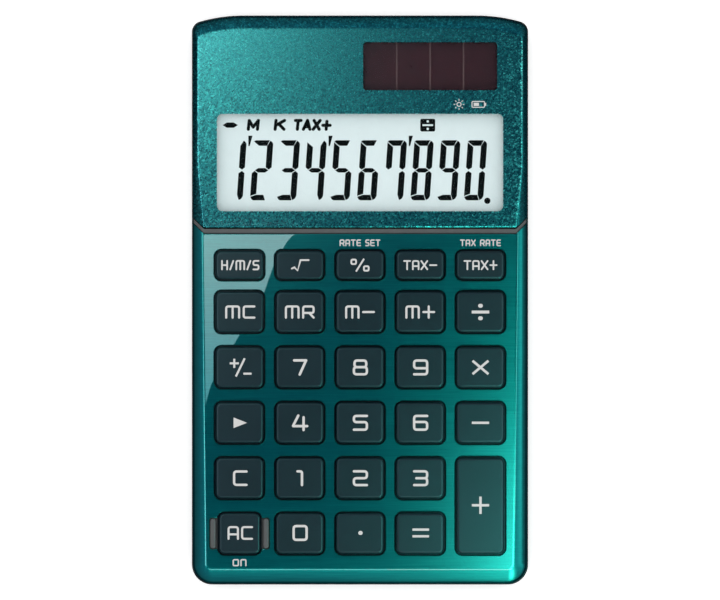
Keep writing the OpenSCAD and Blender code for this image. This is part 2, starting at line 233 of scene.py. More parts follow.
def ring_prism(bm, outer, inner, low, high, slot=0):
    """A closed band between two outlines of the same number of points."""
    def level(outline, z):
        return [bm.verts.new((x * MM, y * MM, z * MM)) for x, y in outline]
    corners = [level(outer, low), level(outer, high), level(inner, high), level(inner, low)]
    for k in range(4):
        a, b = corners[k], corners[(k + 1) % 4]
        for i in range(len(a)):
            j = (i + 1) % len(a)
            bm.faces.new((a[i], a[j], b[j], b[i])).material_index = slot


def rounded_over(edge, crease, z, top, fillet=0.0):
    """Rings and heights of a panel's outside: upright, rounded over, sloping to its crease."""
    r = ROUND_SHARE * BEVEL_W / (1 - math.sin(BEVEL_TURN))
    slope = (1 - ROUND_SHARE) * BEVEL_W
    shares, drops = [1.0], [fillet * math.tan(CREASE_TURN) * 0.4]
    for i in range(1, 7):
        turn = CREASE_TURN + (BEVEL_TURN - CREASE_TURN) * (i - 0.5) / 6
        shares.append(1 - (1 - ROUND_SHARE) * i / 6)
        drops.append(drops[-1] + slope / 6 * math.tan(turn))
    start = drops[-1]
    for i in range(1, 11):
        turn = BEVEL_TURN + (math.pi / 2 - BEVEL_TURN) * i / 10
        shares.append(ROUND_SHARE * (1 - math.sin(turn)) / (1 - math.sin(BEVEL_TURN)))
        drops.append(start + r * (math.cos(BEVEL_TURN) - math.cos(turn)))
    rings = [edge(0)] + [mix(edge(0), crease(0), share) for share in reversed(shares)]
    heights = [z] + [top - drop for drop in reversed(drops)]
    if fillet:
        rings += [crease(fillet * 0.5), crease(fillet)]
        heights += [top - drops[0] * 0.25, top]
    return rings, heights


def inset(outline, d):
    """An outline function moved in by d."""
    return lambda more: outline(d + more)


def bar_line(y, side):
    """The outline of all that lies on one side of a line parallel to the separator bar."""
    x = CASE_HALF + 1
    raked = y + (x - BAR_HALF) * BAR_RAKE
    far = side * 130
    points = [(-x, raked), (-BAR_HALF, y), (BAR_HALF, y), (x, raked), (x, far), (-x, far)]
    return points if side > 0 else points[::-1]


def linked(name, bm, materials=()):
    """An object in the scene from a bmesh, which is used up."""
    mesh = bpy.data.meshes.new(name)
    bm.to_mesh(mesh)
    bm.free()
    for mat in materials:
        mesh.materials.append(mat)
    obj = bpy.data.objects.new(name, mesh)
    bpy.context.scene.collection.objects.link(obj)
    return obj


def piece(name, bm, materials, body="case"):
    """A finished piece: level faces stay flat, the rest is smooth up to SMOOTH_TURN."""
    bmesh.ops.recalc_face_normals(bm, faces=bm.faces)
    for face in bm.faces:
        face.smooth = True
    for edge in bm.edges:
        if len(edge.link_faces) != 2:
            edge.smooth = False
            continue
        a, b = edge.link_faces
        level = [abs(f.normal.z) > 0.99999 for f in (a, b)]
        edge.smooth = level[0] == level[1] and edge.calc_face_angle(0) < SMOOTH_TURN
    obj = linked(name, bm, materials)
    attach(obj, body)
    return obj


def solid(rings, heights):
    bm = bmesh.new()
    loft(bm, rings, heights)
    return bm


def slab(outline, low, high):
    return solid([outline, outline], [low, high])


def carved(body, cutters, join=False, slots=()):
    """A bmesh with others cut away from it, or joined to it, one after another."""
    made = []
    for bm in [body] + cutters:
        bmesh.ops.recalc_face_normals(bm, faces=bm.faces)
        made.append(linked("carving", bm, slots))
    for cutter in made[1:]:
        modifier = made[0].modifiers.new("cut", "BOOLEAN")
        modifier.operation = "UNION" if join else "DIFFERENCE"
        modifier.solver = "EXACT"
        modifier.use_self = join
        modifier.object = cutter
    graph = bpy.context.evaluated_depsgraph_get()
    result = bmesh.new()
    result.from_object(made[0], graph)
    for obj in made:
        mesh = obj.data
        bpy.data.objects.remove(obj)
        bpy.data.meshes.remove(mesh)
    bmesh.ops.dissolve_degenerate(result, dist=1e-7, edges=result.edges)
    loose = [edge for edge in result.edges if not edge.link_faces]
    bmesh.ops.delete(result, geom=loose, context="EDGES")
    return result


def fused(bm, slots):
    """The same solids, with every overlap between them joined."""
    bm.verts.index_update()
    bm.verts.ensure_lookup_table()
    rest = bm.copy()
    rest.verts.index_update()
    island, edge_of = {bm.verts[0]}, [bm.verts[0]]
    while edge_of:
        for edge in edge_of.pop().link_edges:
            for vert in edge.verts:
                if vert not in island:
                    island.add(vert)
                    edge_of.append(vert)
    inside = {vert.index for vert in island}
    for part, keep in ((bm, True), (rest, False)):
        others = [v for v in part.verts if (v.index in inside) != keep]
        bmesh.ops.delete(part, geom=others, context="VERTS")
    return carved(bm, [rest], join=True, slots=slots)


# ---- materials ----

def shader(name, **values):
    """A Principled material, with its node tree and its shader node."""
    mat = bpy.data.materials.new(name)
    mat.use_nodes = True
    tree = mat.node_tree
    bsdf = tree.nodes["Principled BSDF"]
    for socket, value in values.items():
        bsdf.inputs[socket.replace("_", " ")].default_value = value
    return mat, tree, bsdf


def node(tree, kind, inputs=None, **settings):
    made = tree.nodes.new("ShaderNode" + kind)
    for key, value in settings.items():
        setattr(made, key, value)
    for key, value in (inputs or {}).items():
        if isinstance(value, bpy.types.NodeSocket):
            tree.links.new(value, made.inputs[key])
        else:
            made.inputs[key].default_value = value
    return made


def vector(tree, operation, inputs, output="Vector"):
    return node(tree, "VectorMath", inputs, operation=operation).outputs[output]


EVEN = (1, 1, 1)


def place(tree, scale):
    """Object coordinates in millimetres, stretched."""
    at = node(tree, "TexCoord").outputs["Object"]
    return node(tree, "Mapping", {"Vector": at, "Scale": [s / MM for s in scale]}).outputs[0]


def noise(tree, scale, size_per_mm=1.0, detail=4.0, rough=0.6):
    return node(tree, "TexNoise", {"Vector": place(tree, scale), "Scale": size_per_mm,
                                   "Detail": detail, "Roughness": rough}).outputs["Fac"]


def ramp(tree, factor, stops):
    made = node(tree, "ValToRGB", {"Fac": factor})
    elements = made.color_ramp.elements
    while len(elements) < len(stops):
        elements.new(0.5)
    for element, (position, colour) in zip(elements, stops):
        element.position = position
        element.color = (*colour, 1)
    return made.outputs["Color"]


def paint(tree, bsdf, factor, low, high):
    """The base colour, between two tones."""
    tree.links.new(ramp(tree, factor, [(0.3, low), (0.7, high)]), bsdf.inputs["Base Color"])


def gloss(tree, bsdf, factor, low, high):
    """The roughness, between two values."""
    made = node(tree, "MapRange", {"Value": factor, "To Min": low, "To Max": high})
    tree.links.new(made.outputs[0], bsdf.inputs["Roughness"])


def bump(tree, bsdf, height, strength, distance=0.02):
    made = node(tree, "Bump", {"Height": height, "Strength": strength, "Distance": distance * MM})
    tree.links.new(made.outputs["Normal"], bsdf.inputs["Normal"])


def toned(colour, amount):
    """A colour a little darker, and a little lighter."""
    return [tuple(min(1, c * share) for c in colour) for share in (1 - amount, 1 + amount)]


def moulded(name, colour, roughness=0.4, variation=0.12, texture=3.0, strength=0.25, **values):
    """Moulded plastic, rubber or film: mottled colour, uneven gloss and a fine grain."""
    mat, tree, bsdf = shader(name, **values)
    paint(tree, bsdf, noise(tree, EVEN, 0.5), *toned(colour, variation))
    grain = noise(tree, EVEN, texture, 2.0)
    gloss(tree, bsdf, grain, roughness - 0.06, roughness + 0.06)
    bump(tree, bsdf, grain, strength)
    return mat


def metal(name, colour, roughness, brush):
    """Plated or drawn metal, with fine lines that the brush scale stretches."""
    mat, tree, bsdf = shader(name, Metallic=1.0)
    lines = noise(tree, brush, 1.0, 5.0)
    paint(tree, bsdf, lines, *toned(colour, 0.1))
    gloss(tree, bsdf, lines, roughness - 0.08, roughness + 0.12)
    bump(tree, bsdf, lines, 0.15)
    return mat


def clear(name, colour, alpha, ior=1.49):
    """A clear window: see-through, with a polished face that is a little uneven."""
    mat, tree, bsdf = shader(name, Alpha=alpha, IOR=ior)
    cloud = noise(tree, EVEN, 0.2)
    paint(tree, bsdf, cloud, *toned(colour, 0.04))
    gloss(tree, bsdf, cloud, 0.03, 0.06)
    return mat


def brushed_anodised():
    """Aluminium brushed across the case, anodised teal, under a clear lacquer."""
    mat, tree, bsdf = shader("key_panel_metal", Metallic=1.0, Anisotropic=0.7,
                             Coat_Weight=1.0, Coat_Roughness=0.0, Coat_IOR=2.1)
    lines = noise(tree, (0.12, 9, 1), 1.0, 6.0, 0.65)
    soft = noise(tree, (0.03, 0.5, 1), 1.0, 3.0)
    both = node(tree, "Mix", {"Factor": 0.3, "A": lines, "B": soft}).outputs[0]
    colour = ramp(tree, both, [(0.32, (0.008, 0.36, 0.32)), (0.5, (0.014, 0.47, 0.41)),
                               (0.68, (0.028, 0.58, 0.50))])
    tree.links.new(colour, bsdf.inputs["Base Color"])
    gloss(tree, bsdf, lines, 0.24, 0.36)
    across = node(tree, "CombineXYZ", {"X": 0.0, "Y": 1.0, "Z": 0.0}).outputs[0]
    tree.links.new(across, bsdf.inputs["Tangent"])
    bump(tree, bsdf, lines, 0.12, 0.01)
    return mat


def glitter_paint():
    """Teal lacquer full of small metal flakes that tilt every way."""
    mat, tree, bsdf = shader("display_panel_paint", Metallic=1.0,
                             Coat_Weight=1.0, Coat_Roughness=0.02, Coat_IOR=1.5)
    flakes = node(tree, "TexVoronoi", {"Vector": place(tree, EVEN), "Scale": 3.5})
    sparkle = node(tree, "SeparateColor", {"Color": flakes.outputs["Color"]})
    tone = ramp(tree, sparkle.outputs[0], [(0.0, (0.035, 0.23, 0.24)), (0.5, (0.1, 0.41, 0.41)),
                                           (0.85, (0.14, 0.68, 0.62)), (1.0, (0.3, 1.0, 0.92))])
    tree.links.new(tone, bsdf.inputs["Base Color"])
    gloss(tree, bsdf, sparkle.outputs[1], 0.22, 0.36)
    tilt = vector(tree, "SUBTRACT", {0: flakes.outputs["Color"], 1: (0.5, 0.5, 0.5)})
    tilt = vector(tree, "SCALE", {0: tilt, "Scale": 0.16})
    face = node(tree, "NewGeometry").outputs["Normal"]
    turned = vector(tree, "NORMALIZE", {0: vector(tree, "ADD", {0: face, 1: tilt})})
    tree.links.new(turned, bsdf.inputs["Normal"])
    return mat


def key_plastic():
    """Dark slate keys with a silky face, of uneven gloss."""
    mat, tree, bsdf = shader("key_plastic", IOR=1.78,
                             Coat_Weight=0.15, Coat_Roughness=0.06, Coat_IOR=1.5)
    grain = noise(tree, EVEN, 14, 2.0)
    cloud = noise(tree, EVEN, 0.15, 2.0)
    paint(tree, bsdf, cloud, (0.0012, 0.0066, 0.013), (0.002, 0.0086, 0.017))
    gloss(tree, bsdf, grain, 0.34, 0.44)
    bump(tree, bsdf, grain, 0.12, 0.01)
    return mat


def board_mask():
    """Green solder mask over faint copper tracks."""
    mat, tree, bsdf = shader("board_green", Coat_Weight=0.4, Coat_Roughness=0.15)
    tracks = node(tree, "TexBrick", {"Vector": place(tree, EVEN), "Scale": 0.6,
                                     "Mortar Size": 0.12, "Mortar": (0.035, 0.2, 0.07, 1),
                                     "Color1": (0.015, 0.10, 0.035, 1),
                                     "Color2": (0.02, 0.13, 0.045, 1)})
    tree.links.new(tracks.outputs["Color"], bsdf.inputs["Base Color"])
    gloss(tree, bsdf, noise(tree, EVEN, 3.0), 0.3, 0.45)
    bump(tree, bsdf, tracks.outputs["Fac"], 0.3)
    return mat


BACK = moulded("back_plastic", (0.011, 0.012, 0.014), 0.5, texture=5.0, strength=0.4)
SCREW = metal("screw_steel", (0.62, 0.62, 0.64), 0.3, (6, 6, 6))
FRAME = moulded("frame_plastic", (0.085, 0.083, 0.083), 0.42, 0.08, 6.0)
PRINT = moulded("legend_print", (0.56, 0.55, 0.54), 0.5, 0.05, 8.0, 0.1)
SEGMENT = moulded("lcd_segment", (0.002, 0.002, 0.002), 0.5, 0.2, 6.0, 0.05, IOR=1.2)
FILM = moulded("lcd_film", (0.68, 0.79, 0.80), 0.45, 0.02, 6.0, 0.05)
KEY = key_plastic()
METAL = brushed_anodised()
GLITTER = glitter_paint()
SILICONE = moulded("silicone", (0.55, 0.58, 0.6), 0.55, 0.06, 4.0, Transmission_Weight=0.1)
LINE = moulded("cell_line", (0.115, 0.065, 0.066), 0.4, 0.1, 6.0)

NODE_LOOKS = {
    "rubber_feet": moulded("foot_rubber", (0.01, 0.01, 0.011), 0.75, 0.2, 8.0, 0.5),
    "battery_door": moulded("door_plastic", (0.012, 0.013, 0.015), 0.5, texture=5.0, strength=0.4),
    "battery_door_screw": SCREW,
    "case_screws": SCREW,
    "board_screws": SCREW,
    "panel_adhesive": moulded("adhesive", (0.68, 0.64, 0.46), 0.6),
    "display_window": clear("window_clear", (0.06, 0.07, 0.07), 0.02, ior=1.25),
    "solar_window": clear("window_tinted", (0.035, 0.018, 0.026), 0.04, ior=1.35),
    "solar_cell": moulded("solar_silicon", (0.041, 0.0095, 0.0145), 0.3, 0.12, 1.0, 0.03),
    "solar_wire_red": moulded("wire_red", (0.45, 0.02, 0.014), 0.4),
    "solar_wire_black": moulded("wire_black", (0.012, 0.012, 0.014), 0.4),
    "lcd_polariser": FILM,
    "lcd_front_glass": clear("lcd_glass", (0.75, 0.85, 0.85), 0.4),
    "lcd_rear_glass": clear("lcd_rear_glass", (0.75, 0.85, 0.85), 0.4),
    "lcd_reflector": moulded("lcd_reflector", (0.5, 0.55, 0.54), 0.5),
    "lcd_holder": moulded("holder_plastic", (0.76, 0.76, 0.74), 0.5),
    "zebra_strip": moulded("zebra", (0.75, 0.45, 0.5), 0.6),
    "main_board": board_mask(),
    "contact_pads": moulded("carbon", (0.02, 0.02, 0.022), 0.65, 0.2),
    "chip_blob": moulded("epoxy", (0.005, 0.005, 0.006), 0.25),
    "chip_parts": moulded("chip_body", (0.25, 0.19, 0.1), 0.5),
    "buffer_capacitor": moulded("capacitor_sleeve", (0.014, 0.018, 0.026), 0.35),
    "key_mat": SILICONE,
    "battery": metal("cell_steel", (0.6, 0.6, 0.62), 0.2, (4, 4, 4)),
    "battery_contacts": metal("contact_metal", (0.58, 0.52, 0.36), 0.3, (8, 1, 1)),
}


def dress_nodes():
    for name, mat in NODE_LOOKS.items():
        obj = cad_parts[name]
        obj.data.materials.clear()
        obj.data.materials.append(mat)


# ---- panels and case ----

def opening_cutters(openings, turned=1.0):
    """Cutters for openings, flared at the top so that their edges come out rounded."""
    flare = [(0, OPENING_LOW), (0, PANEL_TOP - 0.22), (0.03, PANEL_TOP - 0.12),
             (0.1, PANEL_TOP - 0.04), (0.2, PANEL_TOP + PAST), (0.2, PANEL_TOP + 1)]
    bm = bmesh.new()
    for centre, extent, r in openings:
        stack(bm, centre, extent, r, [(-d * turned, z) for d, z in flare])
    return bm


def panel_cut(y, side, turned):
    """Cuts a panel off along the bar, with its top edge rounded over by the distance turned."""
    steps = [(0, 0), (0, PANEL_TOP - 0.6 * turned), (0.12, PANEL_TOP - 0.32 * turned),
             (0.35, PANEL_TOP - 0.12 * turned), (0.7, PANEL_TOP - 0.02 * turned),
             (1, PANEL_TOP + PAST), (1, CLEAR)]
    return solid([bar_line(y - side * d * turned, side) for d, z in steps], [z for d, z in steps])


def key_opening(name):
    across, along = size(name)[:2]
    return across - 2 * FLANGE_LIP, along - 2 * FLANGE_LIP


def key_shell(d, low, high, fillet=0.0):
    """A solid in the key panel's shape, moved in by d."""
    return solid(*rounded_over(inset(key_edge, d), inset(key_crease, d), low, high, fillet))


def key_panel():
    openings = [(middle(k)[:2], key_opening(k), OPENING_R) for k in KEYS]
    guards = [(AC[:2], (2 * GUARD_X + GUARD_W + 0.2, GUARD_L + 0.2), 0.4)]
    bm = carved(key_shell(0, SKIRT_Z, PANEL_TOP, FILLET),
                [key_shell(KEY_WALL, 0, PANEL_TOP - KEY_WALL), panel_cut(BAR_BOTTOM_Y, 1, 0.15),
                 opening_cutters(guards), opening_cutters(openings)])
    made = piece("key_panel_skin", bm, [METAL])
    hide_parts("key_panel")


def display_panel():
    windows = []
    for name, margin, r in (("display_window", 3, 1.1), ("solar_window", 2, 0.6)):
        across, along = size(name)[:2]
        windows.append((middle(name)[:2], (across - margin, along - margin), r))
    edge, crease = inset(display_edge, DISPLAY_WALL), inset(display_crease, DISPLAY_WALL)
    bm = carved(solid(*rounded_over(display_edge, display_crease, SKIRT_Z, PANEL_TOP, FILLET)),
                [solid(*rounded_over(edge, crease, 0, PANEL_TOP - DISPLAY_WALL)),
                 panel_cut(BAR_TOP_Y, -1, 0.5), opening_cutters(windows, 0.4)])
    made = piece("display_panel_skin", bm, [GLITTER])
    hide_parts("display_panel")


def inner_frame():
    body = carved(key_shell(FRAME_IN, SEAM_Z + 0.05, PANEL_TOP - 0.6),
                  [slab(bar_line(BAR_TOP_Y + 1, 1), 0, CLEAR)])
    separator = carved(key_shell(BAR_IN, SEAM_Z + 0.09, PANEL_TOP - BAR_IN, 0.3),
                       [slab(bar_line(BAR_BOTTOM_Y + BAR_GAP, -1), 0, CLEAR)])
    openings = bmesh.new()
    for k in KEYS:
        prism(openings, rounded(middle(k)[:2], key_opening(k), OPENING_R), OPENING_LOW, CLEAR)
    beyond = slab(bar_line(BAR_TOP_Y - BAR_GAP, 1), 0, CLEAR)
    hollow = key_shell(HOLLOW_IN, 0, FRAME_Z)
    bm = carved(carved(body, [separator], join=True), [beyond, hollow, openings])
    # ribs beside the AC key, with softened tops
    for side in (-1, 1):
        centre = (AC[0] + side * GUARD_X, AC[1])
        stack(bm, centre, (GUARD_W, GUARD_L), GUARD_R,
              [(0, FRAME_Z + 0.6), (0, KEY_TOP - 0.55), (0.06, KEY_TOP - 0.36),
               (0.2, KEY_TOP - 0.24), (0.36, KEY_TOP - 0.2)])
    made = piece("inner_frame_skin", bm, [FRAME])
    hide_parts("inner_frame")


def back_cover():
    side = [(1.9, 0), (1.45, 0.08), (1.1, 0.26), (0.75, 0.55), (0.45, 0.95), (0.22, 1.5),
            (0.07, 2.2), (0.0, 3.0)]
    rings = [case_outline(d) for d, z in side] + [case_outline(0), case_outline(0.12)]
    heights = [CASE_Z + z for d, z in side] + [SEAM_Z - 0.12, SEAM_Z]
    floor = CASE_Z + CASE_FLOOR
    hollow = solid([case_outline(d) for d in (2, 1.5, 1.3, 1.3)],
                   [floor, floor + 0.4, floor + 1.2, SEAM_Z + 1])
    door = size("battery_door")
    holes = bmesh.new()
    prism(holes, rounded(middle("battery_door")[:2], (door[0] + 0.3, door[1] + 0.3), DOOR_R),
          -1, CASE_Z + 0.65)
    low, high = box("rubber_feet")
    for x in (low[0] + FOOT_R, high[0] - FOOT_R):
        for y in (low[1] + FOOT_R, high[1] - FOOT_R):
            prism(holes, circle((x, y), FOOT_R + 0.05), -1, high[2])
    for x, y in SCREW_PLACES:
        for at in ((-x, y), (x, y)):
            prism(holes, circle(at, SCREW_R, 24), -1, floor - 0.1)
    bm = carved(solid(rings, heights), [hollow, holes])
    made = piece("back_cover_skin", bm, [BACK])
    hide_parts("back_cover")


# ---- lettering: a rounded single-line hand of its own ----

def bent(points, r, closed=False):
    """A path whose corners are rounded to radius r."""
    if r <= 0:
        return points
    count = len(points)
    out = []
    for i, corner in enumerate(points):
        if not closed and i in (0, count - 1):
            out.append(corner)
            continue
        a, b = points[i - 1], points[(i + 1) % count]
        to_a = (a[0] - corner[0], a[1] - corner[1])
        to_b = (b[0] - corner[0], b[1] - corner[1])
        la, lb = math.hypot(*to_a), math.hypot(*to_b)
        cut = min(r, la / 2, lb / 2)
        start = (corner[0] + to_a[0] / la * cut, corner[1] + to_a[1] / la * cut)
        end = (corner[0] + to_b[0] / lb * cut, corner[1] + to_b[1] / lb * cut)
        for k in range(6):
            t = k / 5
            out.append(tuple((1 - t) ** 2 * s + 2 * t * (1 - t) * c + t * t * e
                             for s, c, e in zip(start, corner, end)))
    return out


def offsets(path, half, closed):
    """The path's left and right sides, half a stroke's width away."""
    count = len(path)
    left, right = [], []
    for i, (x, y) in enumerate(path):
        before = path[i - 1] if closed or i else path[i]
        after = path[(i + 1) % count] if closed or i < count - 1 else path[i]
        one, two = (x - before[0], y - before[1]), (after[0] - x, after[1] - y)
        normals = [(-v[1] / math.hypot(*v), v[0] / math.hypot(*v))
                   for v in (one, two) if math.hypot(*v) > 1e-9]
        nx, ny = (sum(n[k] for n in normals) / len(normals) for k in (0, 1))
        long = half / max(0.5, nx * nx + ny * ny)
        left.append((x + nx * long, y + ny * long))
        right.append((x - nx * long, y - ny * long))
    return left, right


def stroke(bm, path, width, low, high, closed=False, slot=1, square=False):
    """A printed line of the given width along a path, with round or square ends."""
    left, right = offsets(path, width / 2, closed)
    if closed:
        ring_prism(bm, left, right, low, high, slot)
        return
    outline = []
    for side, tip, before in ((right, path[-1], path[-2]), (left[::-1], path[0], path[1])):
        outline += side
        if not square:
            turn = math.degrees(math.atan2(tip[1] - before[1], tip[0] - before[0]))
            outline += arc(tip, width / 2, turn - 90, turn + 90, 8)[1:-1]
    prism(bm, outline, low, high, slot)


def line(*points):
    return points, False


def loop(*points):
    return points, True


# name: (width, paths), on a body one unit high
D = 0.82
GLYPHS = {
    "0": (D, [loop((0, 0), (D, 0), (D, 1), (0, 1))]),
    "1": (0.4, [line((0, 1), (0.34, 1), (0.34, 0))]),
    "2": (D, [line((0, 1), (D, 1), (D, 0.5), (0, 0.5), (0, 0), (D, 0))]),
    "3": (D, [line((0, 1), (D, 1), (D, 0.5), (0.14, 0.5)),
              line((0.14, 0.5), (D, 0.5), (D, 0), (0, 0))]),
    "4": (D, [line((0.61, 0), (0.61, 0.88)), line((0.3, 1), (0, 0.29)),
              line((0.01, 0.27), (D, 0.27))]),
    "5": (D, [line((D, 1), (0, 1), (0, 0.55), (D, 0.55), (D, 0), (0, 0))]),
    "6": (D, [line((D, 1), (0, 1), (0, 0), (D, 0), (D, 0.56), (0.4, 0.56)),
              line((0.4, 0.56), (0, 0.56))]),
    "7": (D, [line((0, 1), (D, 1)), line((0.81, 0.98), (0.38, 0))]),
    "8": (D, [loop((0.04, 0.52), (D - 0.04, 0.52), (D - 0.04, 1), (0.04, 1)),
              loop((0, 0), (D, 0), (D, 0.52), (0, 0.52))]),
    "9": (D, [line((0, 0), (D, 0), (D, 1), (0, 1), (0, 0.44), (0.42, 0.44)),
              line((0.42, 0.44), (D, 0.44))]),
    "A": (0.9, [line((0, 0), (0, 1), (0.9, 1), (0.9, 0)), line((0, 0.38), (0.9, 0.38))]),
    "C": (0.95, [line((0.95, 1), (0, 1), (0, 0), (0.95, 0))]),
    "E": (0.85, [line((0.85, 1), (0, 1), (0, 0), (0.85, 0)), line((0, 0.5), (0.8, 0.5))]),
    "H": (0.75, [line((0, 0), (0, 1)), line((0.75, 0), (0.75, 1)), line((0, 0.5), (0.75, 0.5))]),
    "M": (1.15, [line((0, 0), (0, 1), (1.15, 1), (1.15, 0)), line((0.575, 1), (0.575, 0))]),
    "N": (0.9, [line((0, 0), (0, 1), (0.9, 1), (0.9, 0))]),
    "O": (0.95, [loop((0, 0), (0.95, 0), (0.95, 1), (0, 1))]),
    "R": (0.95, [line((0, 0), (0, 1), (0.95, 1), (0.95, 0.42), (0.5, 0.42)),
                 line((0.5, 0.42), (0, 0.42)), line((0.55, 0.42), (0.95, 0))]),
    "S": (0.75, [line((0.75, 1), (0, 1), (0, 0.5), (0.75, 0.5), (0.75, 0), (0, 0))]),
    "T": (0.95, [line((0, 1), (0.95, 1)), line((0.475, 1), (0.475, 0))]),
    "X": (0.95, [line((0, 0), (0.95, 1)), line((0, 1), (0.95, 0))]),
    "/": (0.45, [line((0, 0), (0.45, 1))]),
    "-": (1.0, [line((0, 0.5), (1, 0.5))]),
    "+": (1.0, [line((0, 0.5), (1, 0.5)), line((0.5, 0), (0.5, 1))]),
    " ": (0.4, []),
}
LCD_GLYPHS = {
    "M": (0.85, [line((0, 0), (0, 1)), line((0.85, 0), (0.85, 1)), line((0, 1), (0.425, 0.25)),
                 line((0.85, 1), (0.425, 0.25))]),
    "K": (0.75, [line((0, 0), (0, 1)), line((0.72, 1), (0.05, 0.45)),
                 line((0.25, 0.62), (0.75, 0))]),
    "T": (0.7, [line((0, 1), (0.7, 1)), line((0.35, 1), (0.35, 0))]),
    "A": (0.8, [line((0, 0), (0.4, 1)), line((0.8, 0), (0.4, 1)), line((0.16, 0.3), (0.64, 0.3))]),
    "X": (0.75, [line((0, 0), (0.75, 1)), line((0, 1), (0.75, 0))]),
    "+": (0.9, [line((0, 0.45), (0.9, 0.45)), line((0.45, 0), (0.45, 0.9))]),
}


def write(bm, words, centre, height, width, line, low, high, slot=1, glyphs=GLYPHS, r=0.2,
          lean=0.0, gap=0.24):
    """Words of that overall height and width, in strokes of that line width."""
    tall = height - line
    advance = line + gap
    wide = sum(glyphs[c][0] for c in words) * tall
    stretch = (width - line - advance * (len(words) - 1)) / wide
    x = centre[0] - (width - line) / 2
    for letter in words:
        across, paths = glyphs[letter]
        for path, closed in paths:
            points = bent([(px * tall * stretch, py * tall) for px, py in path], r * tall, closed)
            points = [(x + px + lean * (py - tall / 2), centre[1] - tall / 2 + py)
                      for px, py in points]
            stroke(bm, points, line, low, high, closed, slot)
        x += across * tall * stretch + advance


def bar(bm, centre, length, line, low, high, turn=0.0, slot=1):
    """A straight bar with square ends."""
    x, y = math.cos(turn) * length / 2, math.sin(turn) * length / 2
    path = [(centre[0] - x, centre[1] - y), (centre[0] + x, centre[1] + y)]
    stroke(bm, path, line, low, high, slot=slot, square=True)


# ---- keys ----

# key: (words, height, width, stroke, gap between letters)
WORDS = {"key_hms": ("H/M/S", 2.12, 7.95, 0.35, 0.28), "key_mc": ("MC", 2.76, 6.3, 0.44, 0.52),
         "key_tax_minus": ("TAX-", 2.07, 7.05, 0.34, 0.22),
         "key_tax_plus": ("TAX+", 2.07, 7.05, 0.34, 0.22),
         "key_mr": ("MR", 2.76, 6.2, 0.44, 0.52), "key_m_minus": ("M-", 2.76, 6.2, 0.44, 0.52),
         "key_m_plus": ("M+", 2.76, 6.2, 0.44, 0.52), "key_ac": ("AC", 2.85, 5.3, 0.42, 0.45),
         "key_c": ("C", 3.26, 3.05, 0.48, 0), "key_1": ("1", 3.36, 1.6, 0.51, 0)}
WORDS.update({"key_" + d: (d, 3.36, 3.2, 0.5, 0) for d in "0235689"})
WORDS.update({"key_4": ("4", 3.5, 3.45, 0.52, 0), "key_7": ("7", 3.45, 3.0, 0.52, 0)})


def legend(bm, name, low, high):
    """A key's printed sign, between two heights, with the small shifts that the print has."""
    x, y = middle(name)[:2]
    if name in LEFT_COLUMN:
        x += 0.16
    elif name[4:].isdigit():
        x += 0.08
    if name in ROWS[-1] or name == "key_plus":
        y += 0.13
    if name in WORDS:
        words, height, width, line, gap = WORDS[name]
        write(bm, words, (x, y), height, width, line, low, high, gap=gap)
    elif name == "key_root":
        path = [(-1.65, -0.7), (-1.1, -0.45), (-0.45, -1.15), (0.15, 1.05), (1.85, 1.05)]
        stroke(bm, [(x + px, y + py) for px, py in path], 0.36, low, high)
    elif name == "key_percent":
        for side in (-1, 1):
            outline = rounded((x + side * 1.31, y - side * 0.69), (0.98, 0.92), 0.25, 4)
            stroke(bm, outline, 0.36, low, high, closed=True)
        bar(bm, (x, y), 3.15, 0.36, low, high, math.radians(58))
    elif name == "key_divide":
        bar(bm, (x, y), 3.65, 0.6, low, high)
        for side in (-1, 1):
            prism(bm, rounded((x, y + side * 1.3), (0.98, 0.8), 0.38, 5), low, high, 1)
    elif name == "key_sign":
        for turn in (0, math.pi / 2):
            bar(bm, (x - 1.25, y + 0.85), 1.9, 0.42, low, high, turn)
        bar(bm, (x, y), 4.2, 0.42, low, high, math.radians(64))
        bar(bm, (x + 1.5, y - 1.3), 1.7, 0.42, low, high)
    elif name == "key_times":
        for side in (-1, 1):
            bar(bm, (x, y), 4.3, 0.5, low, high, side * math.radians(40))
    elif name == "key_back":
        prism(bm, [(x + 1.4, y), (x - 1.4, y + 1.1), (x - 1.4, y - 1.1)], low, high, 1)
    elif name == "key_minus":
        bar(bm, (x, y), 3.6, 0.49, low, high)
    elif name == "key_plus":
        for turn in (0, math.pi / 2):
            bar(bm, (x, y), 3.6, 0.51, low, high, turn)
    elif name == "key_point":
        prism(bm, rounded((x + 0.1, y), (0.88, 0.84), 0.38, 6), low, high, 1)
    elif name == "key_equals":
        for side in (-1, 1):
            bar(bm, (x + 0.1, y + side * 0.69), 3.45, 0.48, low, high)


def key(name):
    """A key: flange, stem, rounded crown and printed legend."""
    at = middle(name)[:2]
    low, high = (corner[2] for corner in box(name))
    across, along = key_opening(name)
    bm = bmesh.new()
    flange_top = low + FLANGE_H
    stack(bm, at, (across + 2 * FLANGE_LIP, along + 2 * FLANGE_LIP), OPENING_R,
          [(0.08, low), (0, low + 0.08), (0, flange_top - 0.08), (0.08, flange_top)])
    crown = high - PRINT_PROUD
    stack(bm, at, (across - 2 * KEY_GAP, along - 2 * KEY_GAP), OPENING_R - KEY_GAP,
          [(0, flange_top - 0.3), (0, crown - 0.42), (0.02, crown - 0.3), (0.06, crown - 0.2),
           (0.12, crown - 0.12), (0.19, crown - 0.065), (0.28, crown - 0.028),
           (0.38, crown - 0.008), (0.5, crown)], 8)
    words = bmesh.new()
    legend(words, name, crown - 0.03, high)
    made = piece(name + "_cap", carved(bm, [words], True, (KEY, PRINT)), [KEY, PRINT], name)
    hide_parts(name)


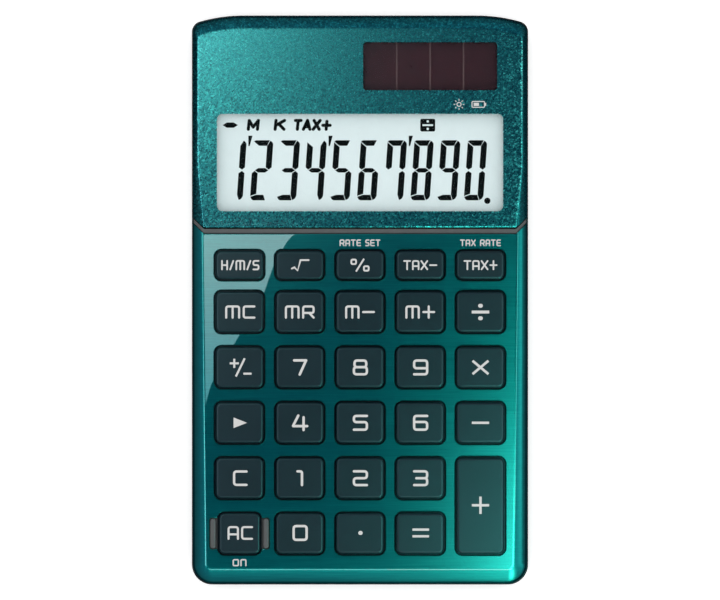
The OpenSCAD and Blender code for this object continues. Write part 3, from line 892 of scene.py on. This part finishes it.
def key_dome(name):
    """The silicone dome under a key, in its unpressed shape."""
    x, y = middle(name)[:2]
    low, high = box("key_domes")
    mat_top = box("key_mat")[1][2]
    profile = [(2.4, low[2]), (2.4, mat_top + 0.05), (2.3, mat_top + 0.2), (1.85, mat_top + 0.5),
               (1.7, mat_top + 0.7), (1.6, high[2] - 0.08), (1.5, high[2])]
    bm = bmesh.new()
    loft(bm, [circle((x, y), r) for r, h in profile], [h for r, h in profile])
    made = piece(name + "_dome", bm, [SILICONE])
    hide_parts("key_domes")
    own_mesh(made)


# ---- display ----

SEGMENTS = {"0": "abcdef", "1": "bc", "2": "abged", "3": "abgcd", "4": "fgbc", "5": "afgcd",
            "6": "afgedc", "7": "fabc", "8": "abcdefg", "9": "abcdfg"}
DIGIT_W, DIGIT_H, DIGIT_PITCH = 4.05, 12.5, 5.565
LAST_DIGIT_X, DIGITS_DOWN, FLAGS_UP = 24.05, 1.6, 9.4
SEGMENT_LINE, SEGMENT_TIP = 1.24, 1.15
LEAN = math.tan(math.radians(4))


def segment_outlines():
    """The seven segments of a digit, each a convex outline."""
    w, h, v, t, m = DIGIT_W, DIGIT_H, SEGMENT_LINE, SEGMENT_TIP, DIGIT_H / 2
    top = [(0.02, h - 0.25), (v - 0.1, h - t), (w - v - 0.03, h - t), (w - 0.75, h), (0.42, h)]
    bottom = [(0.02, 0.72), (0.35, 0.2), (0.7, 0), (w - 0.92, 0), (w - v - 0.08, t), (v - 0.05, t)]
    upper_left = [(0, h - 0.42), (0, m + 0.62), (0.55, m + 0.13), (v, m + 0.6), (v, h - t - 0.27)]
    lower_left = [(0, 0.9), (v, t + 0.2), (v, m - 0.6), (0.55, m - 0.13), (0, m - 0.62)]
    upper_right = [(w - 0.6, h - 0.08), (w - v, h - t - 0.02), (w - v, m + 0.6),
                   (w - 0.55, m + 0.13), (w, m + 0.62), (w, h - 0.75), (w - 0.25, h - 0.35)]
    lower_right = [(w - 0.8, 0.04), (w - 0.3, 0.35), (w, 0.9), (w, m - 0.62),
                   (w - 0.55, m - 0.13),
                   (w - v, m - 0.6), (w - v, t + 0.02)]
    cross = [(0.62, m), (v + 0.05, m - 0.46), (w - v - 0.05, m - 0.46), (w - 0.62, m),
             (w - v - 0.05, m + 0.46), (v + 0.05, m + 0.46)]
    return {"a": top, "b": upper_right, "c": lower_right, "d": bottom, "e": lower_left,
            "f": upper_left, "g": cross}


def display():
    """The number and signs that the display shows, on the polariser."""
    film = box("lcd_polariser")[1][2]
    base, face = film - 0.01, film + 0.015
    y_mid = middle("display_window")[1] - DIGITS_DOWN
    outlines = segment_outlines()
    bm = bmesh.new()
    for place_value, digit in enumerate("0987654321"):
        x0 = LAST_DIGIT_X - DIGIT_PITCH * place_value - DIGIT_W / 2
        for name in SEGMENTS[digit]:
            outline = [(x0 + x + LEAN * (y - DIGIT_H / 2), y_mid + y - DIGIT_H / 2)
                       for x, y in outlines[name]]
            prism(bm, outline, base, face)
        if place_value in (3, 6, 9):
            x = x0 + DIGIT_W + 0.77
            top = y_mid + DIGIT_H / 2
            prism(bm, [(x, top + 0.95), (x + 0.86, top + 0.95), (x + 0.28, top - 1.2),
                       (x, top - 1.2)], base, face)
    prism(bm, circle((26.5, y_mid - DIGIT_H / 2 - 0.1), 0.65, 24), base, face)
    y = y_mid + FLAGS_UP
    prism(bm, [(-28.6, y), (-27.7, y + 0.55), (-26.3, y + 0.55), (-25.4, y), (-26.3, y - 0.55),
               (-27.7, y - 0.55)], base, face)
    for words, x, width in (("M", -22.2, 2.56), ("K", -16.65, 2.5), ("TAX+", -9.87, 8.0)):
        write(bm, words, (x, y + 0.05), 2.5, width, 0.66, base, face, 0, LCD_GLYPHS, 0.0,
              LEAN * 1.5, gap=0.02)
    prism(bm, rounded((14.1, y), (3.1, 2.65), 0.35, 4), base, face)
    bar(bm, (14.1, y), 2.2, 0.36, face - 0.005, face + 0.01)
    for side in (-1, 1):
        prism(bm, circle((14.1, y + side * 0.78), 0.26, 16), face - 0.005, face + 0.01, 1)
    made = piece("display_segments", fused(bm, (SEGMENT, FILM)), [SEGMENT, FILM])


def solar_lines():
    """The lines between the strips of the solar cell."""
    top = box("solar_cell")[1][2]
    x_mid, y_mid = middle("solar_cell")[:2]
    across, along = (v - 2 for v in size("solar_window")[:2])
    bm = bmesh.new()
    for i in (-1, 0, 1):
        outline = rounded((x_mid + i * across / 4, y_mid), (0.28, along), 0.1, 2)
        prism(bm, outline, top - 0.01, top + 0.02)
    made = piece("solar_cell_lines", bm, [LINE])


def captions():
    """The small captions printed on the panels."""
    low, high = PANEL_TOP - 0.03, PANEL_TOP + 0.012
    bm = bmesh.new()
    for words, k in (("RATE SET", "key_percent"), ("TAX RATE", "key_tax_plus")):
        write(bm, words, (middle(k)[0], 11.9), 1.4, 8.5, 0.25, low, high, 0, gap=0.15)
    write(bm, "ON", (AC[0], -54.65), 1.5, 2.9, 0.28, low, high, 0, gap=0.27)
    # a sun and a cell, for the two sources of power
    x, y = 20.6, 40.7
    stroke(bm, circle((x, y), 0.42, 20), 0.2, low, high, closed=True, slot=0)
    for i in range(8):
        turn = math.radians(45 * i)
        ray = (x + 0.95 * math.cos(turn), y + 0.95 * math.sin(turn))
        bar(bm, ray, 0.36, 0.17, low, high, turn, 0)
    stroke(bm, rounded((24.6, y), (2.6, 1.2), 0.2, 3), 0.2, low, high, closed=True, slot=0)
    bar(bm, (26.1, y), 0.3, 0.6, low, high, 0, 0)
    bar(bm, (24.2, y), 1.1, 0.66, low, high, 0, 0)
    made = piece("panel_captions", fused(bm, (PRINT,)), [PRINT])


# ---- studio ----

CAMERA_Z = 3000
CARD_Z = 2800
VIEW_W = 149.8

# radiance of each light; the sky rows are what gloss alone sees, by height
RADIANCE = {
    "daylight": (1.15, 1.15, 1.15),
    "overhead": (0.3, 0.3, 0.3),
    "ground": (0.0, 0.02, 0.03),
    "sky_0": (0.05, 0.1, 0.12),
    "sky_20": (0.03, 0.08, 0.1),
    "sky_45": (0.03, 0.17, 0.24),
    "sky_90": (0.0, 0.0, 0.04),
    "pool_se": (1.1, 9.0, 8.1),
    "pool_nw": (1.2, 2.75, 2.7),
    "pool_s": (0.6, 7.6, 6.4),
    "pool_e": (0.08, 0.95, 0.92),
    "line_w": (1.2, 2.0, 2.2),
    "line_e": (0.95, 1.85, 1.75),
    "line_sw": (1.0, 2.2, 2.2),
    "line_se": (2.3, 2.4, 2.3),
    "veil_top": (1.45, 2.2, 2.25),
    "veil_low": (0.35, 1.7, 1.9),
}
# pools of light on the glow card: centre, the share of each distance that counts, half distance
POOLS = {"pool_se": ((50, -62), (1, 0.7), 8.4), "pool_nw": ((-45, 60), (0.82, 1), 13),
         "pool_s": ((70, -160), (0.75, 0.35), 10), "pool_e": ((190, -30), (0.6, 0.3), 19)}
# strip lights for the bright lines along the creases: side, middle along it, length, width
LINES = {"line_w": ((-1, 0), 0, 150, 24), "line_e": ((1, 0), 15, 120, 24),
         "line_sw": ((0, -1), -27, 66, 16), "line_se": ((0, -1), 34, 56, 14)}
# how far to the side those lights hang, and how far out and how high they aim
LINE_OUT, LINE_AIM, LINE_AIM_Z = (80, 105), (30, 50), 8
GLOW_Z = 110
FLOOR_HALF = 3   # in metres
SENSOR = 36


def emission(name):
    mat = bpy.data.materials.new(name)
    mat.use_nodes = True
    tree = mat.node_tree
    tree.nodes.clear()
    return mat, tree, node(tree, "OutputMaterial"), node(tree, "Emission")


def card(name, outline, z, mat):
    """A studio card that only shows as a reflection."""
    bm = bmesh.new()
    bm.faces.new([bm.verts.new((x * MM, y * MM, z * MM)) for x, y in outline])
    obj = linked(name, bm, [mat])
    obj.visible_camera = False
    obj.visible_diffuse = False
    obj.visible_transmission = False
    obj.visible_shadow = False


def veil():
    """A bright card high up, which the flat faces mirror with a sharp edge."""
    k = 1 + CARD_Z / CAMERA_Z
    sweep = bent([(-8, 14.6), (-14, 14.2), (-18.2, 7), (-20, 1), (-25.5, -8), (-31, -17),
                  (-32.6, -24)], 4)
    outline = [(-60, 14.6), (-60, -34), (-33, -34)] + sweep[::-1]
    mat, tree, out, glow = emission("veil_card")
    at = node(tree, "TexCoord").outputs["Object"]
    height = node(tree, "SeparateXYZ", {"Vector": at}).outputs["Y"]
    share = node(tree, "MapRange", {"Value": height, "From Min": -25 * k * MM,
                                    "From Max": 10 * k * MM}).outputs[0]
    colour = node(tree, "Mix", {0: share, 4: RADIANCE["veil_low"], 5: RADIANCE["veil_top"]},
                  data_type="VECTOR")
    tree.links.new(colour.outputs[1], glow.inputs["Color"])
    tree.links.new(glow.outputs[0], out.inputs[0])
    card("veil_card", [(x * k, y * k) for x, y in outline], CARD_Z, mat)


def glow_card():
    """A see-through card low overhead, with soft pools of light that gloss picks up."""
    mat, tree, out, glow = emission("glow_card")
    at = node(tree, "TexCoord").outputs["Object"]
    total = None
    for name, (centre, share, half) in POOLS.items():
        far = vector(tree, "SUBTRACT", {0: at, 1: [v * MM for v in (*centre, GLOW_Z)]})
        far = vector(tree, "MULTIPLY", {0: far, 1: (*share, 1)})
        far = vector(tree, "LENGTH", {0: far}, "Value")
        halves = node(tree, "Math", {0: far, 1: half * MM}, operation="DIVIDE").outputs[0]
        steep = node(tree, "Math", {0: halves, 1: 1.2}, operation="POWER").outputs[0]
        fall = node(tree, "Math", {0: 0.5, 1: steep}, operation="POWER").outputs[0]
        pool = vector(tree, "SCALE", {0: RADIANCE[name], "Scale": fall})
        total = vector(tree, "ADD", {0: total, 1: pool}) if total else pool
    tree.links.new(total, glow.inputs["Color"])
    clear_card = node(tree, "BsdfTransparent")
    both = node(tree, "AddShader", {0: glow.outputs[0], 1: clear_card.outputs[0]})
    tree.links.new(both.outputs[0], out.inputs[0])
    card("glow_card", [(-220, -260), (220, -260), (220, 160), (-220, 160)], GLOW_Z, mat)


def sky():
    """The room round the set: pale, but for gloss alone dark, with a soft teal belt half way up."""
    world = bpy.data.worlds.new("studio")
    world.use_nodes = True
    tree = world.node_tree
    at = node(tree, "TexCoord").outputs["Generated"]
    up = node(tree, "SeparateXYZ", {"Vector": at}).outputs["Z"]
    heights = {"ground": -0.03, "sky_0": 0.0, "sky_20": 0.342, "sky_45": 0.707, "sky_90": 1.0}
    half = node(tree, "Math", {0: up, 1: 0.5, 2: 0.5}, operation="MULTIPLY_ADD").outputs[0]
    gloss = ramp(tree, half, [(z / 2 + 0.5, RADIANCE[name]) for name, z in heights.items()])
    seen = node(tree, "LightPath").outputs["Is Glossy Ray"]
    colour = node(tree, "Mix", {0: seen, 7: gloss}, data_type="RGBA")
    colour.inputs[6].default_value = (*RADIANCE["daylight"], 1)
    tree.links.new(colour.outputs[2], tree.nodes["Background"].inputs["Color"])
    world.cycles.sampling_method = "NONE"   # so that every gloss ray sees the dark side
    bpy.context.scene.world = world


def light(name, at, aim, extent, glossy=False):
    """A rectangular light, in millimetres; it shows in gloss alone, or not in gloss at all."""
    radiance = max(RADIANCE[name])
    data = bpy.data.lights.new(name, "AREA")
    data.shape = "RECTANGLE"
    data.size, data.size_y = (v * MM for v in extent)
    data.energy = radiance * math.pi * data.size * data.size_y
    data.color = [v / radiance for v in RADIANCE[name]]
    obj = bpy.data.objects.new(name, data)
    obj.location = [v * MM for v in at]
    towards = mathutils.Vector([(b - a) * MM for a, b in zip(at, aim)])
    obj.rotation_euler = towards.to_track_quat("-Z", "Y").to_euler()
    obj.visible_camera = False
    obj.visible_glossy = glossy
    obj.visible_diffuse = not glossy
    obj.visible_transmission = not glossy
    bpy.context.scene.collection.objects.link(obj)


def studio():
    bpy.context.scene.view_settings.view_transform = "Standard"
    sky()
    bm = bmesh.new()
    bmesh.ops.create_grid(bm, x_segments=1, y_segments=1, size=FLOOR_HALF)
    paper = moulded("floor_paper", (0.93, 0.93, 0.93), 0.8, 0.01, 0.5, 0.02,
                    Emission_Strength=0.31, Emission_Color=(1, 1, 1, 1))
    floor = linked("floor", bm, [paper])
    floor.visible_glossy = False

    light("overhead", (-150, 500, 1100), (0, 0, 0), (900, 700))
    for name, ((x, y), along, length, width) in LINES.items():
        at, aim = ((x * out[0] + abs(y) * along, y * out[1] + abs(x) * along)
                   for out in (LINE_OUT, LINE_AIM))
        light(name, (*at, GLOW_Z), (*aim, LINE_AIM_Z), (length, width), glossy=True)
    veil()
    glow_card()


def camera():
    data = bpy.data.cameras.new("camera")
    data.sensor_width = SENSOR
    data.lens = SENSOR * (CAMERA_Z - PANEL_TOP) / VIEW_W
    data.clip_start = 0.01
    obj = bpy.data.objects.new("camera", data)
    obj.location = (0, 0, CAMERA_Z * MM)
    bpy.context.scene.collection.objects.link(obj)
    bpy.context.scene.camera = obj


camera()
studio()
dress_nodes()
back_cover()
inner_frame()
key_panel()
display_panel()
for key_name in KEYS:
    key(key_name)
    key_dome(key_name)
display()
solar_lines()
captions()
